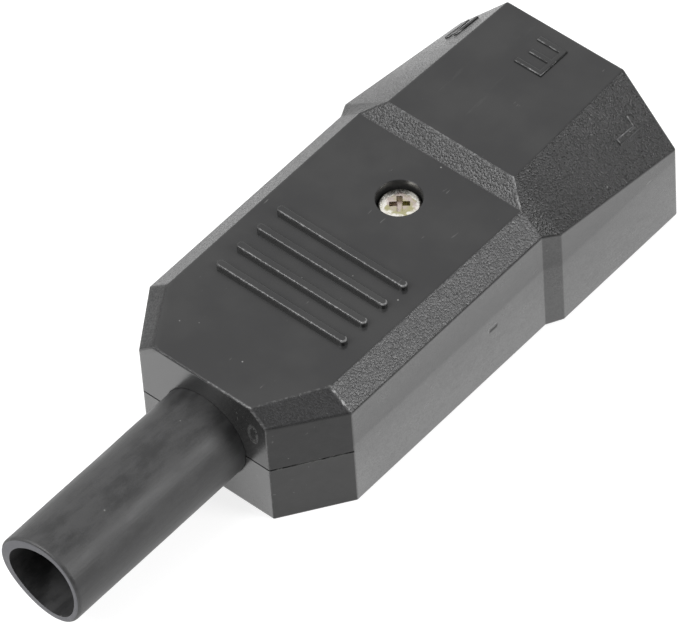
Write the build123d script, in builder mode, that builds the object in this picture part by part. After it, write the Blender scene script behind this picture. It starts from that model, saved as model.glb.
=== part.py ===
import os

from build123d import *

# Driving dimensions in millimetres. Distances along the plug are measured from the rear face of the body.

# Socket in the shroud and the wall that holds the pins
socket_width = 24.5
socket_height = 16.2
socket_chamfer = 5.0
socket_depth = 17.5
mouth_chamfer = 0.4
pin_wall = 3.6

# Shroud around the socket, with bevels that widen to the front
shroud_length = 20.3
shroud_side_wall = 3.65
shroud_wall = 1.65
shroud_rear_bevel_run = 6.7
shroud_rear_bevel_drop = 4.95
shroud_front_bevel_run = 7.4
shroud_front_bevel_drop = 8.4

# Body behind the shroud, one step lower and narrower, with its rear corners cut off
body_length = 62.7
step_length = 2.0
step_rise = 2.0
step_side = 1.1
step_root = 0.15
body_bevel_run = 2.95
body_bevel_drop = 2.5
corner_length = 7.9
corner_cut = 5.5
rear_bevel_run = 2.3
rear_bevel_drop = 2.1
edge_radius = 0.3
seam_height = 8.5
wall = 1.8

# Grip ribs on the top
rib_count = 4
rib_length = 18.8
rib_width = 1.0
rib_height = 0.75
rib_edge_radius = 0.22
rib_pitch = 3.4
first_rib = 13.5

# Pins and their terminals
blade_height = 4.0
blade_thickness = 2.0
blade_tip = 0.6
pin_spacing = 14.0
earth_rise = 4.0
line_blade_reach = 14.5
earth_blade_reach = 16.0
terminal_width = 5.0
line_terminal_length = 8.0
line_terminal_height = 7.0
earth_terminal_height = 5.85
wire_hole = 2.8
terminal_thread = 2.5
terminal_screw_length = 4.0
terminal_head_diameter = 4.2
terminal_head_height = 1.5
terminal_head_margin = 0.1
stop_thickness = 1.1

# Cover screw, its nut and bosses
cover_thread = 2.5
cover_head_diameter = 4.9
cover_head_height = 1.6
cover_head_depth = 0.9
cover_head_gap = 0.275
screw_past_nut = 1.0
nut_width = 5.0
nut_thickness = 1.9
nut_height = 4.0
boss_wall = 1.1

# Sleeve and its seat
sleeve_reach = 26.8
sleeve_bore = 9.1
sleeve_wall = 1.25
sleeve_rim_radius = 0.35
collar_width = 1.3
collar_thickness = 1.5
rear_wall = 2.4
keeper_wall = 1.3
sleeve_tail = 1.6

# Cord clamp
clamp_gap = 1.6
clamp_spacing = 16.4
clamp_length = 5.0
clamp_foot_height = 2.2
clamp_arch_radius = 3.6
clamp_arch_wall = 1.9
clamp_thread = 2.6
clamp_screw_length = 6.0
clamp_head_diameter = 4.6
clamp_head_height = 1.7
clamp_post_diameter = 5.2
clamp_post_rise = 0.6
saddle_thickness = 2.5
saddle_drop = 1.8

# Seam details
lip_width = 0.7
lip_height = 0.8
seam_groove_depth = 0.16
seam_groove_height = 0.22

# Shares of a screw's head and thread, and the clearances
slot_share = 0.62
slot_width_share = 0.17
slot_depth_share = 0.55
head_round_share = 0.5
tip_share = 0.125
fit_gap = 0.05
loose_gap = 0.1
roof_gap = 0.8

# Places that follow from the sizes above
shroud_width = socket_width + 2 * shroud_side_wall
shroud_height = socket_height + 2 * shroud_wall
body_width = shroud_width - 2 * step_side
body_height = shroud_height - step_rise
rear_width = body_width - 2 * corner_cut
rear_y = (sleeve_reach - body_length) / 2
step_end = body_length - shroud_length
step_start = step_end - step_length
socket_floor = body_length - socket_depth
socket_middle = shroud_height / 2
chamber_end = socket_floor - pin_wall
chamber_start = rear_wall + collar_thickness + 2 * fit_gap + keeper_wall

line_pin_z = socket_middle - earth_rise / 2
earth_pin_z = socket_middle + earth_rise / 2
terminal_front = chamber_end - fit_gap
line_terminal_rear = terminal_front - line_terminal_length
line_terminal_base = line_pin_z - line_terminal_height / 2
line_terminal_top = line_pin_z + line_terminal_height / 2
line_screw_distance = (terminal_front + line_terminal_rear) / 2
earth_terminal_rear = terminal_front - terminal_head_diameter - 2 * terminal_head_margin
earth_terminal_top = body_height - wall - roof_gap - terminal_head_height
earth_terminal_base = earth_terminal_top - earth_terminal_height
earth_screw_distance = (terminal_front + earth_terminal_rear) / 2

boss_half_width = nut_width / 2 + fit_gap + boss_wall
cover_screw_distance = earth_terminal_rear - fit_gap - boss_half_width
cover_seat_z = body_height - cover_head_depth - cover_head_height
cover_tip_z = nut_height - screw_past_nut
cover_hole = cover_head_diameter + 2 * cover_head_gap

sleeve_diameter = sleeve_bore + 2 * sleeve_wall
collar_diameter = sleeve_diameter + 2 * collar_width
clamp_distance = chamber_start + sleeve_tail + clamp_gap + clamp_length / 2
clamp_seat_z = seam_height + clamp_post_rise
clamp_head_z = clamp_seat_z + clamp_foot_height
clamp_half_span = (clamp_spacing + clamp_post_diameter) / 2
saddle_width = clamp_spacing - clamp_thread - 2 * boss_wall
stop_front = line_terminal_rear - fit_gap
lip_length = step_start - corner_length - 2 * wall


def along(distance):
    """Y of a place at a distance from the rear face."""
    return rear_y + distance


def upright(distance):
    """Plane across the plug at a distance from the rear face, with X to the side and Z up."""
    return Plane.XZ.offset(-along(distance))


rear_section = (rear_width / 2, body_height - rear_bevel_drop, rear_width / 2 - rear_bevel_run, body_height)
body_section = (body_width / 2, body_height - body_bevel_drop, body_width / 2 - body_bevel_run, body_height)
shroud_rear_section = (
    shroud_width / 2,
    shroud_height - shroud_rear_bevel_drop,
    shroud_width / 2 - shroud_rear_bevel_run,
    shroud_height,
)
shroud_front_section = (
    shroud_width / 2,
    shroud_height - shroud_front_bevel_drop,
    shroud_width / 2 - shroud_front_bevel_run,
    shroud_height,
)
# The step starts inside the body, on the line of its own slope
step_root_section = [
    body + (body - shroud) * step_root / step_length
    for body, shroud in zip(body_section, shroud_rear_section)
]


def casing_section(half_width, shoulder, half_top, top):
    """Six-sided section: flat base, upright sides, a bevel on each side and a flat top."""
    Polygon(
        (-half_width, 0), (half_width, 0), (half_width, shoulder), (half_top, top), (-half_top, top),
        (-half_width, shoulder), align=None,
    )


def section_at(distance):
    """Casing section at any distance, between the named sections on either side of it."""
    stations = [
        (0, rear_section),
        (corner_length, body_section),
        (step_start, body_section),
        (step_end, shroud_rear_section),
        (body_length, shroud_front_section),
    ]
    for (near, near_section), (far, far_section) in zip(stations, stations[1:]):
        if near <= distance <= far:
            share = (distance - near) / (far - near)
            return [a + share * (b - a) for a, b in zip(near_section, far_section)]


# Outside of the body, which runs on into the shroud
with BuildPart() as body_block:
    for distance, section in [(0, rear_section), (corner_length, body_section), (step_end, body_section)]:
        with BuildSketch(upright(distance)):
            casing_section(*section)
    loft(ruled=True)
    front_ring = body_block.faces().sort_by(Axis.Y)[-1].edges()
    fillet([edge for edge in body_block.edges() if edge not in front_ring], edge_radius)

# Whole casing, hollowed, before it is parted at the seam
with BuildPart() as casing:
    for distance, section in [
        (step_start - step_root, step_root_section),
        (step_end, shroud_rear_section),
        (body_length, shroud_front_section),
    ]:
        with BuildSketch(upright(distance)):
            casing_section(*section)
    loft(ruled=True)
    root_ring = casing.faces().sort_by(Axis.Y)[0].edges()
    fillet([edge for edge in casing.edges() if edge not in root_ring], edge_radius)
    add(body_block.part)

    # Terminal chamber
    turns = [turn for turn in (corner_length, step_start, step_end) if chamber_start < turn < chamber_end]
    for distance in [chamber_start, *turns, chamber_end]:
        with BuildSketch(upright(distance)):
            casing_section(*section_at(distance))
            offset(amount=-wall, kind=Kind.INTERSECTION, mode=Mode.REPLACE)
    loft(ruled=True, mode=Mode.SUBTRACT)

    # Socket with two chamfered upper corners
    with BuildSketch(upright(body_length)):
        with Locations((0, socket_middle)):
            socket = Rectangle(socket_width, socket_height)
        chamfer(socket.vertices().group_by(Axis.Y)[-1], socket_chamfer)
    extrude(amount=socket_depth, mode=Mode.SUBTRACT)
    chamfer(casing.faces().sort_by(Axis.Y)[-1].inner_wires()[0].edges(), mouth_chamfer)

    # Slots for the live and neutral blades
    with BuildSketch(upright(socket_floor)):
        with Locations((0, line_pin_z)):
            with GridLocations(pin_spacing, 0, 2, 1):
                Rectangle(blade_thickness + 2 * fit_gap, blade_height + 2 * fit_gap)
    extrude(amount=pin_wall, mode=Mode.SUBTRACT)

    # Seat of the sleeve in the rear wall, with a groove for its collar
    with BuildSketch(upright(chamber_start)):
        with Locations((0, seam_height)):
            Circle(sleeve_diameter / 2 + fit_gap)
    extrude(amount=chamber_start, mode=Mode.SUBTRACT)
    with BuildSketch(upright(chamber_start - keeper_wall)):
        with Locations((0, seam_height)):
            Circle(collar_diameter / 2 + fit_gap)
    extrude(amount=collar_thickness + 2 * fit_gap, mode=Mode.SUBTRACT)

    # Fine groove where the halves meet, on the rear face and its corner facets
    rear_outline = [
        (-body_width / 2, along(corner_length)), (-rear_width / 2, rear_y),
        (rear_width / 2, rear_y), (body_width / 2, along(corner_length)),
    ]
    for start, end in zip(rear_outline, rear_outline[1:]):
        with BuildSketch(Plane.XY.offset(seam_height - seam_groove_height / 2)):
            with BuildLine():
                Line(start, end)
            trace(line_width=2 * seam_groove_depth)
        extrude(amount=seam_groove_height, mode=Mode.SUBTRACT)

# One grip rib, rounded along its top
with BuildPart() as grip_rib:
    with BuildSketch():
        SlotOverall(rib_length, rib_width)
    extrude(amount=rib_height)
    fillet(grip_rib.faces().sort_by(Axis.Z)[-1].edges(), rib_edge_radius)

# Upper half
with BuildPart() as upper_shell:
    add(casing.part)
    split(bisect_by=Plane.XY.offset(seam_height), keep=Keep.TOP)

    # Grip ribs across the top
    with Locations((0, along(first_rib + (rib_count - 1) * rib_pitch / 2), body_height)):
        with GridLocations(0, rib_pitch, 1, rib_count):
            add(grip_rib.part)

    # Boss for the cover screw, down to the seam, with its counterbored hole
    with BuildSketch(Plane.XY.offset(seam_height)):
        with Locations((0, along(cover_screw_distance))):
            Circle(boss_half_width)
    extrude(amount=body_height - wall - seam_height)
    with Locations((0, along(cover_screw_distance), body_height)):
        CounterBoreHole(
            radius=cover_thread / 2 + loose_gap,
            counter_bore_radius=cover_hole / 2,
            counter_bore_depth=body_height - cover_seat_z,
            depth=body_height - seam_height,
        )

    # Opening in the pin wall for the earth tower, with the top of the earth slot above it
    with BuildSketch(upright(socket_floor)):
        with Locations((0, seam_height)):
            Rectangle(
                terminal_width + 2 * fit_gap,
                earth_pin_z - seam_height + fit_gap,
                align=(Align.CENTER, Align.MIN),
            )
        with Locations((0, earth_pin_z)):
            Rectangle(blade_thickness + 2 * fit_gap, blade_height + 2 * fit_gap)
    extrude(amount=pin_wall, mode=Mode.SUBTRACT)

    # Rebates for the alignment lips
    with BuildSketch(Plane.XY.offset(seam_height)):
        with Locations((0, along((corner_length + step_start) / 2))):
            with GridLocations(body_width - 2 * wall + lip_width, 0, 2, 1):
                Rectangle(lip_width + 2 * loose_gap, lip_length + 2 * loose_gap)
    extrude(amount=lip_height + loose_gap, mode=Mode.SUBTRACT)
    upper_shell.part.label = "upper_shell"

# Lower half
with BuildPart() as lower_shell:
    add(casing.part)
    split(bisect_by=Plane.XY.offset(seam_height), keep=Keep.BOTTOM)

    # Alignment lips along both sides
    with BuildSketch(Plane.XY.offset(seam_height - lip_height)):
        with Locations((0, along((corner_length + step_start) / 2))):
            with GridLocations(body_width - 2 * wall + lip_width, 0, 2, 1):
                Rectangle(lip_width, lip_length)
    extrude(amount=2 * lip_height)

    # Tower that carries the earth blade in the pin wall
    with BuildSketch(upright(socket_floor)):
        with Locations((0, seam_height)):
            Rectangle(terminal_width, earth_pin_z - seam_height, align=(Align.CENTER, Align.MIN))
        with Locations((0, earth_pin_z)):
            Rectangle(blade_thickness + 2 * fit_gap, blade_height + 2 * fit_gap, mode=Mode.SUBTRACT)
    extrude(amount=pin_wall)

    # Seats under the terminals, with stops behind the outer two
    with BuildSketch(Plane.XY.offset(wall)):
        with Locations((0, along(chamber_end))):
            Rectangle(terminal_width, chamber_end - earth_terminal_rear, align=(Align.CENTER, Align.MAX))
    extrude(amount=earth_terminal_base - wall)
    with BuildSketch(Plane.XY.offset(wall)):
        with Locations((-pin_spacing / 2, along(chamber_end)), (pin_spacing / 2, along(chamber_end))):
            Rectangle(
                terminal_width,
                chamber_end - stop_front + stop_thickness,
                align=(Align.CENTER, Align.MAX),
            )
    extrude(amount=line_terminal_base - wall)
    with BuildSketch(Plane.XY.offset(wall)):
        with Locations((-pin_spacing / 2, along(stop_front)), (pin_spacing / 2, along(stop_front))):
            Rectangle(terminal_width, stop_thickness, align=(Align.CENTER, Align.MAX))
    extrude(amount=line_pin_z - wire_hole / 2 - wall)

    # Boss for the cover screw, with a slot for the nut that opens to the rear
    with BuildSketch(Plane.XY.offset(wall)):
        with Locations((0, along(cover_screw_distance))):
            RectangleRounded(2 * boss_half_width, 2 * boss_half_width, boss_wall)
    extrude(amount=seam_height - wall)
    with BuildSketch(Plane.XY.offset(nut_height)):
        with Locations((0, along(cover_screw_distance - boss_half_width))):
            Rectangle(
                nut_width + 2 * fit_gap,
                boss_half_width + nut_width / 2 + fit_gap,
                align=(Align.CENTER, Align.MIN),
            )
    extrude(amount=nut_thickness + 2 * fit_gap, mode=Mode.SUBTRACT)
    with Locations((0, along(cover_screw_distance), seam_height)):
        Hole(radius=cover_thread / 2 + loose_gap, depth=seam_height - cover_tip_z + loose_gap)

    # Clamp posts with screw holes, and a saddle under the cord
    with BuildSketch(Plane.XY.offset(wall)):
        with Locations((0, along(clamp_distance))):
            with GridLocations(clamp_spacing, 0, 2, 1):
                Circle(clamp_post_diameter / 2)
    extrude(amount=clamp_seat_z - wall)
    with BuildSketch(upright(clamp_distance)):
        with Locations((0, wall)):
            Rectangle(saddle_width, seam_height - saddle_drop - wall, align=(Align.CENTER, Align.MIN))
        with Locations((0, seam_height)):
            Circle(sleeve_bore / 2, mode=Mode.SUBTRACT)
    extrude(amount=saddle_thickness / 2, both=True)
    with Locations((0, along(clamp_distance), clamp_seat_z)):
        with GridLocations(clamp_spacing, 0, 2, 1):
            Hole(
                radius=clamp_thread / 2 + fit_gap,
                depth=clamp_screw_length - clamp_foot_height + loose_gap,
            )
    lower_shell.part.label = "lower_shell"

# Sleeve with its collar
with BuildPart() as cable_sleeve:
    with BuildSketch(upright(chamber_start + sleeve_tail)):
        with Locations((0, seam_height)):
            Circle(sleeve_diameter / 2)
    extrude(amount=chamber_start + sleeve_tail + sleeve_reach)
    with BuildSketch(upright(rear_wall + fit_gap + collar_thickness)):
        with Locations((0, seam_height)):
            Circle(collar_diameter / 2)
    extrude(amount=collar_thickness)
    with BuildSketch(upright(chamber_start + sleeve_tail)):
        with Locations((0, seam_height)):
            Circle(sleeve_bore / 2)
    extrude(amount=chamber_start + sleeve_tail + sleeve_reach, mode=Mode.SUBTRACT)
    fillet(cable_sleeve.faces().sort_by(Axis.Y)[0].edges(), sleeve_rim_radius)
    cable_sleeve.part.label = "cable_sleeve"


def pin(x, middle, reach, terminal_rear, terminal_base, terminal_top):
    """Flat blade with a chamfered tip on a terminal block, which has a hole for its screw from above."""
    with BuildPart() as made:
        with BuildSketch(upright(terminal_front)):
            with Locations((x, terminal_base)):
                Rectangle(terminal_width, terminal_top - terminal_base, align=(Align.CENTER, Align.MIN))
        extrude(amount=terminal_front - terminal_rear)
        with BuildSketch(upright(socket_floor + reach)):
            with Locations((x, middle)):
                Rectangle(blade_thickness, blade_height)
        extrude(amount=socket_floor + reach - terminal_front)
        chamfer(made.faces().sort_by(Axis.Y)[-1].edges(), blade_tip)
        with Locations((x, along((terminal_front + terminal_rear) / 2), terminal_top)):
            Hole(radius=terminal_thread / 2 + fit_gap, depth=terminal_screw_length + fit_gap)
    return made.part


# Live pin, with a wire hole that runs in from the rear to just past its screw
with BuildPart() as live_pin:
    line_terminal = (line_terminal_rear, line_terminal_base, line_terminal_top)
    add(pin(pin_spacing / 2, line_pin_z, line_blade_reach, *line_terminal))
    with BuildSketch(upright(line_screw_distance + terminal_thread)):
        with Locations((pin_spacing / 2, line_pin_z)):
            Circle(wire_hole / 2)
    extrude(amount=line_screw_distance + terminal_thread - line_terminal_rear, mode=Mode.SUBTRACT)
    live_pin.part.label = "live_pin"

with BuildPart() as neutral_pin:
    add(mirror(live_pin.part, about=Plane.YZ, mode=Mode.PRIVATE))
    neutral_pin.part.label = "neutral_pin"

# Earth pin, with a wire hole from side to side under its screw
with BuildPart() as earth_pin:
    earth_terminal = (earth_terminal_rear, earth_terminal_base, earth_terminal_top)
    add(pin(0, earth_pin_z, earth_blade_reach, *earth_terminal))
    with BuildSketch(Plane.YZ):
        with Locations((along(earth_screw_distance), earth_terminal_top - terminal_screw_length)):
            Circle(wire_hole / 2)
    extrude(amount=terminal_width / 2, both=True, mode=Mode.SUBTRACT)
    earth_pin.part.label = "earth_pin"

# Square nut for the cover screw
with BuildPart() as cover_nut:
    with BuildSketch(Plane.XY.offset(nut_height + fit_gap)):
        with Locations((0, along(cover_screw_distance))):
            Rectangle(nut_width, nut_width)
            Circle(cover_thread / 2 + fit_gap, mode=Mode.SUBTRACT)
    extrude(amount=nut_thickness)
    cover_nut.part.label = "cover_nut"

# Bridge that clamps the cord
with BuildPart() as cord_clamp:
    with BuildSketch(upright(clamp_distance)):
        with Locations((0, clamp_seat_z)):
            Rectangle(2 * clamp_half_span, clamp_foot_height, align=(Align.CENTER, Align.MIN))
        with Locations((0, seam_height)):
            Circle(clamp_arch_radius + clamp_arch_wall)
            Circle(clamp_arch_radius, mode=Mode.SUBTRACT)
        with Locations((0, clamp_seat_z)):
            Rectangle(
                2 * clamp_half_span,
                2 * clamp_half_span,
                align=(Align.CENTER, Align.MAX),
                mode=Mode.SUBTRACT,
            )
    extrude(amount=clamp_length / 2, both=True)
    with Locations((0, along(clamp_distance), clamp_head_z)):
        with GridLocations(clamp_spacing, 0, 2, 1):
            Hole(radius=clamp_thread / 2 + loose_gap, depth=clamp_foot_height)
    cord_clamp.part.label = "cord_clamp"


def screw(x, distance, seat, thread, length, head_diameter, head_height):
    """Upright pan-head screw with a cross slot. The seat is the height of the underside of its head."""
    with BuildPart() as made:
        with BuildSketch(Plane.XY.offset(seat)):
            with Locations((x, along(distance))):
                Circle(head_diameter / 2)
        extrude(amount=head_height)
        fillet(made.faces().sort_by(Axis.Z)[-1].edges(), head_round_share * head_height)
        with BuildSketch(Plane.XY.offset(seat + head_height)):
            with Locations((x, along(distance))):
                Rectangle(slot_share * head_diameter, slot_width_share * head_diameter)
                Rectangle(slot_width_share * head_diameter, slot_share * head_diameter)
        extrude(amount=-slot_depth_share * head_height, mode=Mode.SUBTRACT)
        with BuildSketch(Plane.XY.offset(seat)):
            with Locations((x, along(distance))):
                Circle(thread / 2)
        extrude(amount=-length)
        chamfer(made.faces().sort_by(Axis.Z)[0].edges(), tip_share * thread)
    return made.part


terminal_screw = (terminal_thread, terminal_screw_length, terminal_head_diameter, terminal_head_height)
clamp_screw = (clamp_thread, clamp_screw_length, clamp_head_diameter, clamp_head_height)
cover_screw = (cover_thread, cover_seat_z - cover_tip_z, cover_head_diameter, cover_head_height)
screws = {
    "cover_screw": screw(0, cover_screw_distance, cover_seat_z, *cover_screw),
    "live_terminal_screw": screw(pin_spacing / 2, line_screw_distance, line_terminal_top, *terminal_screw),
    "neutral_terminal_screw": screw(
        -pin_spacing / 2, line_screw_distance, line_terminal_top, *terminal_screw
    ),
    "earth_terminal_screw": screw(0, earth_screw_distance, earth_terminal_top, *terminal_screw),
    "clamp_screw_left": screw(-clamp_spacing / 2, clamp_distance, clamp_head_z, *clamp_screw),
    "clamp_screw_right": screw(clamp_spacing / 2, clamp_distance, clamp_head_z, *clamp_screw),
}

os.makedirs("parts", exist_ok=True)
export_step(upper_shell.part, "parts/upper_shell.step")
export_step(lower_shell.part, "parts/lower_shell.step")
export_step(cable_sleeve.part, "parts/cable_sleeve.step")
export_step(live_pin.part, "parts/live_pin.step")
export_step(neutral_pin.part, "parts/neutral_pin.step")
export_step(earth_pin.part, "parts/earth_pin.step")
export_step(cover_nut.part, "parts/cover_nut.step")
export_step(cord_clamp.part, "parts/cord_clamp.step")
for name, part in screws.items():
    part.label = name
    export_step(part, f"parts/{name}.step")
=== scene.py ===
import math

import bpy
from mathutils import Matrix, Vector
from mathutils.bvhtree import BVHTree


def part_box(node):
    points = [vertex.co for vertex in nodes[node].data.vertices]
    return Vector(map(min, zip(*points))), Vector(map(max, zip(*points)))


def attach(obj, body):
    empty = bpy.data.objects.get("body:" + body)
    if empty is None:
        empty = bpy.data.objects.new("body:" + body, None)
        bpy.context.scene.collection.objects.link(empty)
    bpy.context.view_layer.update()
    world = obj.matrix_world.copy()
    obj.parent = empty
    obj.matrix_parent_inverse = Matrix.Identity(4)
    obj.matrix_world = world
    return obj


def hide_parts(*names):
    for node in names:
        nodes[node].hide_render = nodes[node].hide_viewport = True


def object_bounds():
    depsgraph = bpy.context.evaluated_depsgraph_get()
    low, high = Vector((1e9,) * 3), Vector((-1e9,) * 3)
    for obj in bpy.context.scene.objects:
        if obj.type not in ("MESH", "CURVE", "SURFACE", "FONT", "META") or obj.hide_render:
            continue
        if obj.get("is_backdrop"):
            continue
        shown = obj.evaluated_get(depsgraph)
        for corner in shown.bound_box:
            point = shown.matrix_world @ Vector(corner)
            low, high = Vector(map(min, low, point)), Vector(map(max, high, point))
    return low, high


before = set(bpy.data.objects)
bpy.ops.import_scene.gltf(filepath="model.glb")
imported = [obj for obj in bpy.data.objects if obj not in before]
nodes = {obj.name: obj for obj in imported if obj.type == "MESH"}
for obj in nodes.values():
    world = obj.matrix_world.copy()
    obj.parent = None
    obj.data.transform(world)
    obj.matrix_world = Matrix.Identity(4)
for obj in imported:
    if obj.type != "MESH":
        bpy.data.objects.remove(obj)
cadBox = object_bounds()
scene = bpy.context.scene
scene.view_settings.view_transform = "Standard"
mm = 0.001
print("frame loaded,", len(nodes), "nodes")


class Wire:  # one socket of a node tree, so that sums on sockets read as plain maths
    def __init__(self, tree, socket=None):
        self.tree = tree
        self.socket = socket

    # any node: its settings first, then the values or links of its sockets
    def node(self, kind, settings=None, sockets=None, output=0):
        made = self.tree.nodes.new(kind)
        for key, value in (settings or {}).items():
            setattr(made, key, value)
        for key, value in (sockets or {}).items():
            if isinstance(value, Wire):
                self.tree.links.new(value.socket, made.inputs[key])
            else:
                made.inputs[key].default_value = value
        return Wire(self.tree, made.outputs[output] if made.outputs else None)

    def maths(self, operation, *values, clamp=False):
        settings = {"operation": operation, "use_clamp": clamp}
        return self.node("ShaderNodeMath", settings, dict(enumerate(values)))

    def __add__(self, other):
        return self.maths("ADD", self, other)

    def __radd__(self, other):
        return self.maths("ADD", other, self)

    def __sub__(self, other):
        return self.maths("SUBTRACT", self, other)

    def __rsub__(self, other):
        return self.maths("SUBTRACT", other, self)

    def __mul__(self, other):
        return self.maths("MULTIPLY", self, other)

    def __rmul__(self, other):
        return self.maths("MULTIPLY", other, self)

    def __truediv__(self, other):
        return self.maths("DIVIDE", self, other)

    def __rtruediv__(self, other):
        return self.maths("DIVIDE", other, self)

    def __abs__(self):
        return self.maths("ABSOLUTE", self)

    # 0 below low, 1 above high, with a soft step between
    def step(self, low, high):
        sockets = {"Value": self, "From Min": low, "From Max": high}
        return self.node("ShaderNodeMapRange", {"interpolation_type": "SMOOTHSTEP"}, sockets)

    # 1 inside a soft-edged band
    def band(self, low, high, soft):
        return self.step(low - soft, low + soft) * (1 - self.step(high - soft, high + soft))

    def clamped(self):
        return self.maths("ADD", self, 0.0, clamp=True)

    def part(self, axis):
        return self.node("ShaderNodeSeparateXYZ", None, {0: self}, axis)

    def vectorMaths(self, operation, sockets, output=0):
        return self.node("ShaderNodeVectorMath", {"operation": operation}, sockets, output)


def vector(x, y, z):
    return x.node("ShaderNodeCombineXYZ", None, {0: x, 1: y, 2: z})


# distance from the middle in two directions
def reach(x, y):
    return x.maths("SQRT", x * x + y * y)


def mixColours(factor, first, second):
    def opaque(colour):
        return colour if isinstance(colour, Wire) else (*colour, 1)

    sockets = {0: factor, 6: opaque(first), 7: opaque(second)}
    return factor.node("ShaderNodeMix", {"data_type": "RGBA"}, sockets, 2)


def noise(place, size, detail=2.0, roughness=0.5, stretch=None):
    if stretch:
        place = place.node("ShaderNodeMapping", None, {"Vector": place, "Scale": stretch})
    sockets = {"Vector": place, "Scale": 1 / size, "Detail": detail, "Roughness": roughness}
    return place.node("ShaderNodeTexNoise", None, sockets)


# one noise for each entry of a dictionary
def noises(place, textures):
    return {key: noise(place, **settings) for key, settings in textures.items()}


# specks of dust, in clusters
def dustSpecks(place, specks):
    sockets = {"Vector": place, "Scale": 1 / specks["spacing"], "Randomness": 1.0}
    dots = place.node("ShaderNodeTexVoronoi", None, sockets)
    return (1 - dots.step(*specks["dot"])) * noise(place, specks["clusterSize"]).step(*specks["cluster"])


def startMaterial(name):
    material = bpy.data.materials.new(name)
    material.use_nodes = True
    material.node_tree.nodes.clear()
    return material, Wire(material.node_tree)


def objectPlace(start):
    return start.node("ShaderNodeTexCoord", output="Object")


def objectFacing(start):
    return start.node("ShaderNodeTexCoord", output="Normal")


# bumps are (height wire, depth in metres) pairs, stacked from the coarsest to the finest
def finishMaterial(name, start, bumps, sockets, normal=None):
    for height, depth in bumps:
        links = {"Height": height, "Distance": depth, "Strength": 1.0}
        if normal:
            links["Normal"] = normal
        normal = start.node("ShaderNodeBump", None, links)
    if normal:
        sockets["Normal"] = normal
    surface = start.node("ShaderNodeBsdfPrincipled", None, sockets)
    start.node("ShaderNodeOutputMaterial", None, {"Surface": surface})
    print("material made:", name)


def dress(thing, material):
    thing.data.materials.clear()
    thing.data.materials.append(material)


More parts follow.
